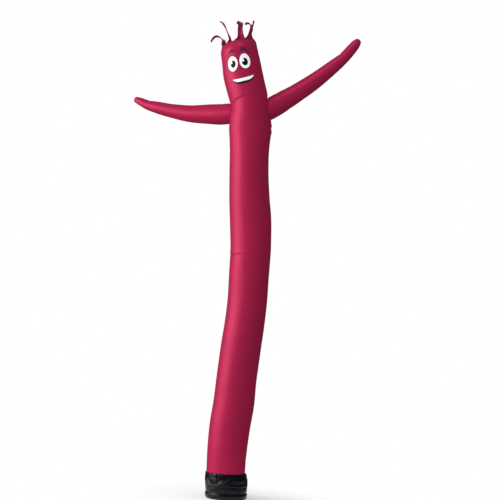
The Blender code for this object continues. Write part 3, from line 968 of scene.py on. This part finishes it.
@dataclass
class Collar:
    """The coated black collar, pulled over the outlet ring, with wrinkles and a rolled hem."""

    rows: Table = (
        # height, shift, radius
        (0.0140, -0.001, 0.2390), (0.0280, -0.001, 0.2425), (0.0460, -0.001, 0.2435),
        (0.0620, -0.001, 0.2410), (0.0710, -0.001, 0.2380), (0.1250, -0.004, 0.2405),
        (0.2050, -0.010, 0.2435), (0.2550, -0.013, 0.2395), (0.2790, -0.016, 0.2350),
        (0.2890, -0.018, 0.2300),
    )
    sides: int = 340
    rings: int = 100
    radius: float = 0.241
    flat: Place = (1.52, 0.29)
    hem_top: float = 0.075
    unevenness: Place = (0.0026, 0.0012)  # broad and fine
    pleats: tuple[int, float, float, float] = (31, 0.0022, 0.284, 0.020)  # count, rise, height, width
    hem_line: tuple[float, float, float] = (0.0030, 0.076, 0.006)  # sink, height, width
    top_waver: float = 0.0035
    turned_in: Place = (0.004, 0.0085)  # how far the last rows at the top are turned in
    wrinkles: tuple[tuple[tuple[Place, ...], float, float], ...] = (
        # path, width, rise
        (((12.0, 0.256), (-6.0, 0.212), (-24.0, 0.156)), 0.012, 0.0120),
        (((-62.0, 0.222), (-50.0, 0.178), (-38.0, 0.157), (-24.0, 0.164)), 0.008, 0.0085),
        (((-23.0, 0.268), (-22.0, 0.222), (-24.0, 0.178)), 0.007, -0.0100),
        (((-40.0, 0.232), (-30.0, 0.214), (-22.0, 0.210)), 0.008, 0.0065),
        (((-58.0, 0.152), (-44.0, 0.132), (-30.0, 0.140)), 0.010, -0.0045),
        (((-8.0, 0.142), (4.0, 0.138), (20.0, 0.146)), 0.007, -0.0045),
        (((20.0, 0.146), (22.0, 0.118), (18.0, 0.094)), 0.007, 0.0035),
        (((16.0, 0.226), (40.0, 0.214), (66.0, 0.222)), 0.008, 0.0030),
        (((10.0, 0.190), (36.0, 0.182), (62.0, 0.190)), 0.007, -0.0030),
        (((24.0, 0.158), (48.0, 0.152), (72.0, 0.160)), 0.008, 0.0030),
        (((120.0, 0.250), (140.0, 0.190), (158.0, 0.150)), 0.012, 0.0065),
        (((206.0, 0.244), (190.0, 0.196), (172.0, 0.160)), 0.011, 0.0060),
        (((228.0, 0.214), (244.0, 0.170), (262.0, 0.176)), 0.010, -0.0050),
        (((84.0, 0.236), (96.0, 0.190), (90.0, 0.140)), 0.011, 0.0050),
    )

    @cached_property
    def folds(self) -> list[Fold]:
        """The wrinkles as folds of the collar's radius."""
        return [Fold(*wrinkle, self.radius) for wrinkle in self.wrinkles]

    def point(self, height: float, turn: float) -> Vector:
        """A point on the collar's cloth.

        Args:
            height: Height over the floor.
            turn: Angle from the front, positive towards +X, in radians.

        Returns:
            The point in the part's frame.
        """
        shift, radius = read_row(self.rows, height)
        x, y = math.sin(turn), math.cos(turn)
        free = max(0.0, min(1.0, (height - self.hem_top) / 0.03))
        broad, fine = self.unevenness
        lift = broad * noise.noise(Vector((3.5 * x, 3.5 * y, 11.0 * height))) * free
        lift += fine * noise.noise(Vector((9.0 * x, 9.0 * y, 30.0 * height))) * free
        count, rise, middle, width = self.pleats
        lift += rise * math.sin(count * turn + 2.5 * math.sin(3 * turn)) * bell(height - middle, width)
        sink, middle, width = self.hem_line
        lift -= sink * bell(height - middle, width)
        lift += free * sum(fold.height_at(turn, height) for fold in self.folds)
        drop = self.top_waver * noise.noise(Vector((2.2 * x, 2.2 * y, 3.0))) * (height > 0.26)
        return Vector((shift + (radius + lift) * x, -(radius + lift) * y, height + drop))

    def build(self, wardrobe: Wardrobe) -> bpy.types.Object:
        """Build and dress the collar.

        Args:
            wardrobe: The finishes.

        Returns:
            The piece.
        """
        low, high = self.rows[0][0], self.rows[-1][0]
        heights = [low + (high - low) * k / self.rings for k in range(self.rings + 1)]
        turns = even_turns(self.sides)
        rows = [[self.point(h, t) for t in turns] for h in heights]
        for step, inward in enumerate(self.turned_in, start=1):
            rows.append([
                Vector((p.x - inward * math.sin(t), p.y + inward * math.cos(t), p.z + 0.0006 * step))
                for p, t in zip(rows[self.rings], turns)
            ])
        levels = [j * (high - low) / self.rings for j in range(len(rows))]
        uvs = round_uvs(self.sides, self.radius, levels)
        piece = SheetMesh("collar_skin", rows, True, uvs).build([wardrobe.get(BLACK_CLOTH)])
        put_on(piece, "base_collar")
        return piece


@dataclass
class OutletRing:
    """The moulded outlet ring, turned from a rounded profile."""

    radius: float = 0.2240
    wall: float = 0.0040
    height: float = 0.0720
    bead: float = 0.0035
    lip: float = 0.0080
    sides: int = 144
    bead_steps: int = 8

    def build(self, wardrobe: Wardrobe) -> bpy.types.Object:
        """Build and dress the ring.

        Args:
            wardrobe: The finishes.

        Returns:
            The piece.
        """
        inner, high = self.radius - self.wall, self.height - self.bead
        profile = [(inner, self.wall), (inner - self.lip, self.wall), (inner - self.lip, 0.0)]
        profile += [(self.radius, 0.0), (self.radius, high - self.bead)]
        for k in range(self.bead_steps + 1):
            angle = -math.pi / 2 + math.pi * k / self.bead_steps
            profile.append((self.radius + self.bead * math.cos(angle), high + self.bead * math.sin(angle)))
        profile += [(inner, self.height), (inner, self.wall)]
        turns = even_turns(self.sides)
        rows = [[Vector((r * math.sin(t), -r * math.cos(t), z)) for t in turns] for r, z in profile]
        uvs = round_uvs(self.sides, self.radius, [0.01 * j for j in range(len(profile))])
        piece = SheetMesh("outlet_ring_moulding", rows, True, uvs).build([wardrobe.get(RING_PLASTIC)])
        piece.modifiers.clear()
        piece.data.set_sharp_from_angle(angle=math.radians(40))
        return put_on(piece, "outlet_ring")


def oval_cut(half: Place) -> tuple[Place, float]:
    """The flat size of an oval patch and its area, from its half width and half height."""
    flat = (2 * half[0], 2 * half[1])
    return flat, math.pi / 4 * flat[0] * flat[1]


def strip_cut(edges: Sequence[tuple[Place, Place]]) -> tuple[Place, float]:
    """The flat cut of a strip, from its lower and upper edge at each station.

    Args:
        edges: Pairs of places on the flat cloth, in metres.

    Returns:
        The strip's length and greatest width, and its area.
    """
    length, area = 0.0, 0.0
    for (low, high), (next_low, next_high) in zip(edges, edges[1:]):
        run = next_low[0] - low[0]
        climb = (next_low[1] + next_high[1] - low[1] - high[1]) / 2
        length += math.hypot(run, climb)
        area += run * (high[1] - low[1] + next_high[1] - next_low[1]) / 2
    return (length, max(high[1] - low[1] for low, high in edges)), area


# ---------------------------------------------------------------- the face


@dataclass
class Face:
    """The patches sewn on the head: eyes, pupils, brows, mouth and lip line."""

    tube: Tube
    turn: float = math.radians(-8.0)
    eyes: tuple[tuple[str, float, float], ...] = (
        # side, across, height
        ("left", -0.0820, 5.043),
        ("right", 0.0725, 5.049),
    )
    eye_half: Place = (0.0715, 0.0945)
    pupils: tuple[tuple[str, float, float, float, float], ...] = (
        # side, across, height, half_width, half_height
        ("left", -0.0755, 5.036, 0.0320, 0.0430),
        ("right", 0.0705, 5.041, 0.0360, 0.0440),
    )
    brow: Table = (
        # across, height, half_thickness
        (0.034, 5.176, 0.0130), (0.066, 5.193, 0.0190), (0.100, 5.184, 0.0160),
        (0.130, 5.157, 0.0110), (0.152, 5.126, 0.0040),
    )
    mouth_across: float = 0.018
    mouth_half: float = 0.137
    mouth_height: float = 4.873
    mouth_top_dip: float = 0.013
    mouth_bottom_dip: float = 0.049
    mouth_roundness: float = 3.6
    lip: float = 0.026
    lip_taper: float = 0.45
    edge_share: float = 0.065  # how much of an eye's half size its edge stitching takes
    lift: float = 0.0014
    left_brow: float = 0.8  # thickness of the left brow as a share of the right one's
    brow_steps: int = 28
    brow_rows: int = 8
    mouth_steps: int = 64
    mouth_rows: int = 10
    lip_overlap: float = 0.0005
    glint_place: Place = (-0.58, 0.44)  # in shares of the pupil's half size
    glint_size: Place = (0.40, 0.34)
    rim: float = 0.25  # how proud a patch's edge stands, as a share of its middle
    rings: int = 22
    sides: int = 96

    def place(self, across: float, height: float, proud: float) -> Vector:
        """A point on the head, from metres of cloth to the right of the face's middle."""
        return self.tube.point(height, self.turn + across / TUBE_RADIUS, proud)

    def oval(self, across: float, height: float, half: Place, proud: float) -> tuple[list, list]:
        """Rows of points of an oval patch, from its rim to its middle, with a rounded edge.

        Args:
            across: Middle of the patch to the right of the face's middle.
            height: Middle of the patch.
            half: Half width and half height.
            proud: How far the patch stands on the cloth.

        Returns:
            Rows of points and rows of UV places.
        """
        rows, uvs = [], []
        for j in range(self.rings + 1):
            share = max(1 - (j / self.rings) ** 1.5, 0.003)
            rounded = proud * (self.rim + (1 - self.rim) * min(1.0, (1 - share) / 0.05) ** 0.5)
            ring, places = [], []
            for k in range(self.sides + 1):
                angle = 2 * math.pi * k / self.sides
                x, z = half[0] * share * math.cos(angle), half[1] * share * math.sin(angle)
                places.append((x, z))
                if k < self.sides:
                    ring.append(self.place(across + x, height + z, rounded))
            rows.append(ring)
            uvs.append(places)
        return rows, uvs

    def strip(self, edges: Sequence[tuple[Place, Place]], proud: float, steps: int) -> tuple[list, list]:
        """Rows of points across a strip, with rounded edges.

        Args:
            edges: Its lower and upper edge at each station.
            proud: How far the strip stands on the cloth.
            steps: How many spans it has across.

        Returns:
            Rows of points and rows of UV places.
        """
        rows, uvs = [], []
        for k in range(steps + 1):
            share = k / steps
            rounded = proud * (self.rim + (1 - self.rim) * math.sin(math.pi * share) ** 0.5)
            line = [
                (low[0] + (high[0] - low[0]) * share, low[1] + (high[1] - low[1]) * share)
                for low, high in edges
            ]
            rows.append([self.place(a, h, rounded) for a, h in line])
            uvs.append(line)
        return rows, uvs

    def finish_patch(
        self,
        piece: bpy.types.Object,
        slot: Slot,
        node: str,
        flat: Place,
        area: float,
    ) -> bpy.types.Object:
        """Args:
            piece: The patch.
            slot: Its material slot; not used.
            node: The CAD node.
            flat: Its flat size; not used.
            area: Its flat area; not used.

        Returns:
            The same patch.
        """
        put_on(piece, node)
        return piece

    def build(self, wardrobe: Wardrobe) -> list[bpy.types.Object]:
        """Build and dress every patch.

        Args:
            wardrobe: The finishes.

        Returns:
            The patches.
        """
        pieces = []
        edge_rings = next(j for j in range(self.rings) if (j / self.rings) ** 1.5 > self.edge_share)
        white, black = wardrobe.get(WHITE_PATCH), wardrobe.get(BLACK_PATCH)
        thread, grey, lip = wardrobe.get(EDGE_THREAD), wardrobe.get(GREY_PATCH), wardrobe.get(LIP_PATCH)
        for side, middle, level in self.eyes:
            sign = math.copysign(1, middle)
            rows, uvs = self.oval(middle, level, self.eye_half, self.lift)
            sheet = SheetMesh(
                f"eye_patch_{side}", rows, True, uvs, thickness=PATCH_CLOTH,
                slot_of=lambda j, k: 1 if j < edge_rings else 0,
            )
            piece = sheet.build([white, thread])
            pieces.append(self.finish_patch(piece, Slot.WHITE, f"eye_{side}", *oval_cut(self.eye_half)))
            start, end = self.brow[0][0], self.brow[-1][0]
            edges = []
            for k in range(self.brow_steps + 1):
                across = start + (end - start) * k / self.brow_steps
                height, half = read_row(self.brow, across)
                half *= 1.0 if sign > 0 else self.left_brow
                edges.append(((sign * across, height - half), (sign * across, height + half)))
            if sign < 0:
                edges.reverse()
            rows, uvs = self.strip(edges, self.lift, self.brow_rows)
            piece = SheetMesh(f"brow_patch_{side}", rows, False, uvs, PATCH_CLOTH).build([grey])
            pieces.append(self.finish_patch(piece, Slot.GREY, f"brow_{side}", *strip_cut(edges)))
        for side, across, height, half_width, half_height in self.pupils:
            half = (half_width, half_height)
            rows, uvs = self.oval(across, height, half, 2.2 * self.lift)
            glint = self.glint_test(half)
            sheet = SheetMesh(
                f"pupil_patch_{side}", rows, True, uvs, thickness=PATCH_CLOTH,
                slot_of=lambda j, k, test=glint, places=uvs: int(test(places[j][k])),
            )
            piece = sheet.build([black, white])
            pieces.append(self.finish_patch(piece, Slot.BLACK, f"pupil_{side}", *oval_cut(half)))
        pieces += self.build_mouth(white, lip)
        return pieces

    def glint_test(self, half: Place) -> Callable[[Place], bool]:
        """A test for the light spot in a pupil, above and to the left of its middle.

        Args:
            half: The pupil's half width and half height.

        Returns:
            The test, which takes a place on the patch.
        """
        centre = (self.glint_place[0] * half[0], self.glint_place[1] * half[1])
        radii = (self.glint_size[0] * half[0], self.glint_size[1] * half[1])
        return lambda p: ((p[0] - centre[0]) / radii[0]) ** 2 + ((p[1] - centre[1]) / radii[1]) ** 2 < 1

    def build_mouth(self, white: bpy.types.Material, lip: bpy.types.Material) -> list[bpy.types.Object]:
        """Build the mouth and the line under it.

        Args:
            white: The mouth's material.
            lip: The line's material.

        Returns:
            The two patches.
        """
        mouth, line = [], []
        for i in range(self.mouth_steps + 1):
            t = 2 * i / self.mouth_steps - 1
            across = self.mouth_across + self.mouth_half * t
            top = self.mouth_height - self.mouth_top_dip * (1 - t * t)
            bottom = self.mouth_height - self.mouth_bottom_dip * (1 - abs(t) ** self.mouth_roundness)
            mouth.append(((across, bottom), (across, top)))
            upper = bottom + self.lip_overlap
            line.append(((across, upper - self.lip * (1 - self.lip_taper * t * t)), (across, upper)))
        made = []
        for name, edges, material, slot, node in (
            ("mouth_patch", mouth, white, Slot.WHITE, "mouth"),
            ("lip_patch", line, lip, Slot.GREY, "lip_line"),
        ):
            rows, uvs = self.strip(edges, self.lift, self.mouth_rows)
            piece = SheetMesh(name, rows, False, uvs, PATCH_CLOTH).build([material])
            made.append(self.finish_patch(piece, slot, node, *strip_cut(edges)))
        return made


# ---------------------------------------------------------------- the hair


@dataclass
class Streamer:
    """A cloth streamer sewn in the crown: a ribbon that flares at its root, twists and folds."""

    number: int
    rows: Table
    flare: float = 1.9
    stations: int = 70
    threads: int = 8
    root_drop: float = 0.004
    flare_fade: Place = (0.020, 0.10)  # over its height, and along it
    curl: tuple[float, float, float] = (0.40, 0.14, 36.0)  # share of the width, its waver, how fast
    curl_start: float = 0.05
    crinkle: Place = (0.0025, 30.0)  # height and fineness
    seat_fade: float = 0.012
    seated: float = 0.05  # height over the root up to which the ribbon bends to the crown

    def build(self, tube: Tube, wardrobe: Wardrobe) -> bpy.types.Object:
        """Build and dress the streamer.

        Args:
            tube: The tube whose crown it is sewn in.
            wardrobe: The finishes.

        Returns:
            The piece.
        """
        keyed = [(float(i), *row) for i, row in enumerate(self.rows)]
        samples = [
            read_row(keyed, k * (len(self.rows) - 1) / (self.stations - 1)) for k in range(self.stations)
        ]
        base_x, base_y = self.rows[0][:2]
        root = tube.crown_top(base_x, base_y)
        rows, uvs, travelled, widths = [], [], 0.0, []
        for i, (x, y, rise, width, turn) in enumerate(samples):
            ahead = Vector(samples[min(i + 1, self.stations - 1)][:3])
            behind = Vector(samples[max(i - 1, 0)][:3])
            along = (ahead - behind).normalized()
            travelled += (ahead - behind).length / 2
            flat = level_way(turn)
            across = (flat - along * flat.dot(along)).normalized()
            proud = across.cross(along).normalized()
            over, beside = self.flare_fade
            spread = 1 + self.flare * math.exp(-rise / over) * max(0.0, 1 - travelled / beside)
            mean, waver, fast = self.curl
            bend = mean + waver * math.sin(fast * travelled + 1.7 * self.number)
            curl = width * bend * min(1.0, travelled / self.curl_start)
            row, places = [], []
            for k in range(self.threads + 1):
                share = 2 * k / self.threads - 1
                offset = across * share * width * spread / 2
                offset += proud * curl * (share * share - 0.5)
                place = Vector((self.crinkle[1] * travelled, 2.0 * share, float(self.number)))
                crease = proud * self.crinkle[0] * noise.noise(place)
                point = Vector((x, y, root + rise)) + offset + crease
                if rise < self.seated:
                    seat = tube.crown_top(point.x, point.y) - self.root_drop
                    pull = math.exp(-max(rise, 0.0) / self.seat_fade)
                    point.z += (seat - root) * pull
                row.append(point)
                places.append((share * width / 2, travelled))
            rows.append(row)
            uvs.append(places)
            widths.append(sum((b - a).length for a, b in zip(row, row[1:])))
        sheet = SheetMesh(f"streamer_ribbon_{self.number}", rows, False, uvs, PATCH_CLOTH)
        piece = sheet.build([wardrobe.get(STREAMER_CLOTH)])
        put_on(piece, f"streamer_{self.number}")
        return piece


HAIR: tuple[Table, ...] = (
    # x, y, rise above the root, width, turn of the width from +X in degrees
    (
        (-0.347, -0.012, 0.000, 0.050, 55), (-0.361, -0.012, 0.032, 0.048, 58),
        (-0.375, -0.010, 0.066, 0.044, 64), (-0.405, -0.004, 0.091, 0.040, 76),
        (-0.443, 0.002, 0.103, 0.040, 78), (-0.473, 0.008, 0.092, 0.040, 76),
        (-0.493, 0.012, 0.067, 0.040, 74), (-0.511, 0.014, 0.038, 0.040, 74),
    ),
    (
        (-0.341, 0.046, 0.000, 0.046, 48), (-0.351, 0.046, 0.033, 0.042, 42),
        (-0.364, 0.050, 0.071, 0.040, 30), (-0.366, 0.070, 0.085, 0.040, 10),
        (-0.369, 0.112, 0.072, 0.038, 5), (-0.374, 0.148, 0.044, 0.038, 5),
    ),
    (
        (-0.285, 0.000, 0.000, 0.045, 34), (-0.293, 0.000, 0.055, 0.040, 60),
        (-0.308, 0.000, 0.092, 0.035, 72), (-0.336, 0.004, 0.156, 0.034, 75),
        (-0.373, 0.010, 0.219, 0.037, 68), (-0.395, 0.012, 0.245, 0.034, 66),
        (-0.422, 0.014, 0.254, 0.027, 78),
    ),
    (
        (-0.173, -0.016, 0.000, 0.061, 16), (-0.171, -0.016, 0.049, 0.054, 8),
        (-0.173, -0.014, 0.089, 0.052, -8), (-0.179, -0.012, 0.159, 0.052, 12),
        (-0.183, -0.012, 0.205, 0.052, 30), (-0.195, -0.014, 0.220, 0.047, 66),
        (-0.218, -0.016, 0.201, 0.042, 80),
    ),
    (
        (-0.132, 0.016, 0.000, 0.048, -22), (-0.142, 0.016, 0.054, 0.044, -20),
        (-0.151, 0.016, 0.094, 0.040, -30), (-0.157, 0.016, 0.164, 0.038, -32),
        (-0.160, 0.020, 0.214, 0.038, -14), (-0.162, 0.038, 0.228, 0.038, -5),
        (-0.162, 0.062, 0.203, 0.036, -5),
    ),
    (
        (-0.063, -0.016, 0.000, 0.067, 18), (-0.061, -0.016, 0.052, 0.058, 38),
        (-0.058, -0.014, 0.084, 0.052, 54), (-0.047, -0.012, 0.135, 0.049, 44),
        (-0.047, -0.012, 0.175, 0.049, 56), (-0.063, -0.014, 0.196, 0.049, 76),
        (-0.091, -0.016, 0.201, 0.049, 84), (-0.119, -0.018, 0.191, 0.046, 84),
    ),
    (
        (-0.028, 0.016, 0.000, 0.053, -18), (-0.037, 0.016, 0.061, 0.046, -44),
        (-0.041, 0.016, 0.094, 0.041, -56), (-0.035, 0.016, 0.145, 0.039, -42),
        (-0.029, 0.016, 0.187, 0.037, -46), (-0.021, 0.016, 0.222, 0.025, -64),
        (-0.018, 0.016, 0.242, 0.025, -50), (-0.016, 0.016, 0.260, 0.032, -24),
    ),
)


# ---------------------------------------------------------------- the studio


@dataclass
class Studio:
    """Pale floor, soft lights, bright surround and camera."""

    floor_radius: float = 9.0
    floor_fade: Place = (0.35, 1.5)  # where the floor starts to fade, and where it is gone
    floor_lift: float = 0.34  # light of the floor itself, which keeps its shadows faint
    key_turn: float = math.radians(75.0)
    key_rise: float = math.radians(18.0)
    key_distance: float = 20.0
    key_size: Place = (7.0, 10.5)
    key_power: float = 820.0
    wide_rise: float = math.radians(5.0)
    wide_distance: float = 11.0
    wide_size: Place = (14.0, 8.0)
    wide_power: float = 690.0
    top_place: tuple[float, float, float] = (-0.5, -4.0, 8.0)
    top_size: Place = (1.6, 1.6)
    top_power: float = 60.0
    surround: Place = (0.64, 0.20)  # its light from the brightest way and from the opposite one
    mirrored: float = 0.22  # share of the surround that shows in gloss
    bright_way: tuple[float, float, float] = (-0.52, -0.76, 0.38)
    camera_place: tuple[float, float, float] = (0.104, -12.5, 1.712)
    camera_pitch: float = math.radians(5.279)
    camera_roll: float = math.radians(3.5)
    lens: float = 77.184
    aim: tuple[float, float, float] = (0.0, 0.0, 2.9)

    def add_floor(self) -> None:
        """A pale disc that fades into the surround."""
        bm = bmesh.new()
        bmesh.ops.create_circle(bm, cap_ends=True, segments=96, radius=self.floor_radius)
        mesh = bpy.data.meshes.new("floor")
        bm.to_mesh(mesh)
        bm.free()
        floor = add_object("floor", mesh)
        floor.location.z = -0.0005
        material = bpy.data.materials.new("pale_floor")
        material.use_nodes = True
        tree = material.node_tree
        shader = tree.nodes["Principled BSDF"]
        wire(shader, {
            "Base Color": (0.92, 0.92, 0.92, 1.0),
            "Roughness": 0.9,
            "Emission Color": (1.0, 1.0, 1.0, 1.0),
            "Emission Strength": self.floor_lift,
        })
        place = add_node(tree, "TexCoord")
        far = add_node(tree, "VectorMath", {0: place.outputs["Object"]}, operation="LENGTH")
        edges = {"From Min": self.floor_fade[0], "From Max": self.floor_fade[1]}
        fade = add_node(
            tree, "MapRange", {"Value": far.outputs["Value"], **edges}, interpolation_type="SMOOTHSTEP"
        )
        clear = add_node(tree, "BsdfTransparent")
        blend = {0: fade.outputs["Result"], 1: shader.outputs[0], 2: clear.outputs[0]}
        wire(tree.nodes["Material Output"], {"Surface": add_node(tree, "MixShader", blend).outputs[0]})
        mesh.materials.append(material)

    def add_lamp(self, name: str, place: Vector, size: Place, power: float) -> None:
        """A soft light that aims at the figure.

        Args:
            name: Its name.
            place: Where it stands.
            size: Its width and height.
            power: Its power in watts.
        """
        lamp = bpy.data.lights.new(name, "AREA")
        lamp.shape = "RECTANGLE"
        lamp.size, lamp.size_y = size
        lamp.energy = power
        obj = add_object(name, lamp)
        obj.location = place
        obj.rotation_euler = (Vector(self.aim) - place).to_track_quat("-Z", "Y").to_euler()
        obj.visible_camera = False

    def add_lights(self) -> None:
        """A key light from the left, a wide one nearer to it, and a weak one from above the front."""
        aim = Vector(self.aim)
        for name, rise, distance, size, power in (
            ("key_light", self.key_rise, self.key_distance, self.key_size, self.key_power),
            ("wide_light", self.wide_rise, self.wide_distance, self.wide_size, self.wide_power),
        ):
            level = math.cos(rise)
            left, front = math.sin(self.key_turn) * level, math.cos(self.key_turn) * level
            self.add_lamp(name, aim + Vector((-left, -front, math.sin(rise))) * distance, size, power)
        self.add_lamp("top_light", aim + Vector(self.top_place), self.top_size, self.top_power)

    def add_surround(self) -> None:
        """White to the camera, and dimmer as a light, most of all from the right and from behind."""
        world = bpy.data.worlds.new("surround")
        bpy.context.scene.world = world
        world.use_nodes = True
        tree = world.node_tree
        shown = tree.nodes["Background"]
        wire(shown, {"Color": (1.0, 1.0, 1.0, 1.0)})
        place = add_node(tree, "TexCoord")
        ways = {0: place.outputs["Generated"], 1: self.bright_way}
        facing = add_node(tree, "VectorMath", ways, operation="DOT_PRODUCT").outputs["Value"]
        bright, dark = self.surround
        span = add_node(
            tree, "MapRange",
            {"Value": facing, "From Min": -1.0, "From Max": 1.0, "To Min": dark, "To Max": bright},
        )
        path = add_node(tree, "LightPath")
        dimmed = {0: path.outputs["Is Glossy Ray"], 1: self.mirrored - 1.0, 2: 1.0}
        dim = add_node(tree, "Math", dimmed, operation="MULTIPLY_ADD").outputs[0]
        strength = add_node(tree, "Math", {0: span.outputs["Result"], 1: dim}, operation="MULTIPLY")
        cool = {"Color": (0.93, 0.96, 1.0, 1.0), "Strength": strength.outputs[0]}
        light = add_node(tree, "Background", cool)
        blend = {0: path.outputs["Is Camera Ray"], 1: light.outputs[0], 2: shown.outputs[0]}
        wire(tree.nodes["World Output"], {"Surface": add_node(tree, "MixShader", blend).outputs[0]})

    def add_camera(self) -> None:
        """The camera, low and a little rolled, looking slightly up."""
        data = bpy.data.cameras.new("camera")
        data.lens = self.lens
        data.sensor_width = 36.0
        camera = add_object("camera", data)
        camera.location = self.camera_place
        pitch = Matrix.Rotation(math.pi / 2 + self.camera_pitch, 3, "X")
        camera.rotation_euler = (pitch @ Matrix.Rotation(self.camera_roll, 3, "Z")).to_euler()
        bpy.context.scene.camera = camera

    def build(self) -> None:
        """Set up the studio."""
        self.add_floor()
        self.add_lights()
        self.add_surround()
        self.add_camera()
        bpy.context.scene.view_settings.view_transform = "Standard"


def main() -> None:
    """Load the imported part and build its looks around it."""
    logging.basicConfig(level=logging.INFO, format="%(name)s: %(message)s")
    for obj in list(bpy.data.objects):
        bpy.data.objects.remove(obj, do_unlink=True)
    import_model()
    wardrobe = Wardrobe()
    wardrobe.stock()
    tube = Tube()
    arms = (LEFT_ARM, RIGHT_ARM)
    tube.build(wardrobe, arms)
    for arm in arms:
        arm.build(tube, wardrobe)
    Collar().build(wardrobe)
    OutletRing().build(wardrobe)
    Face(tube).build(wardrobe)
    for number, rows in enumerate(HAIR, start=1):
        Streamer(number, rows).build(tube, wardrobe)
    Studio().build()


if __name__ == "__main__":
    main()
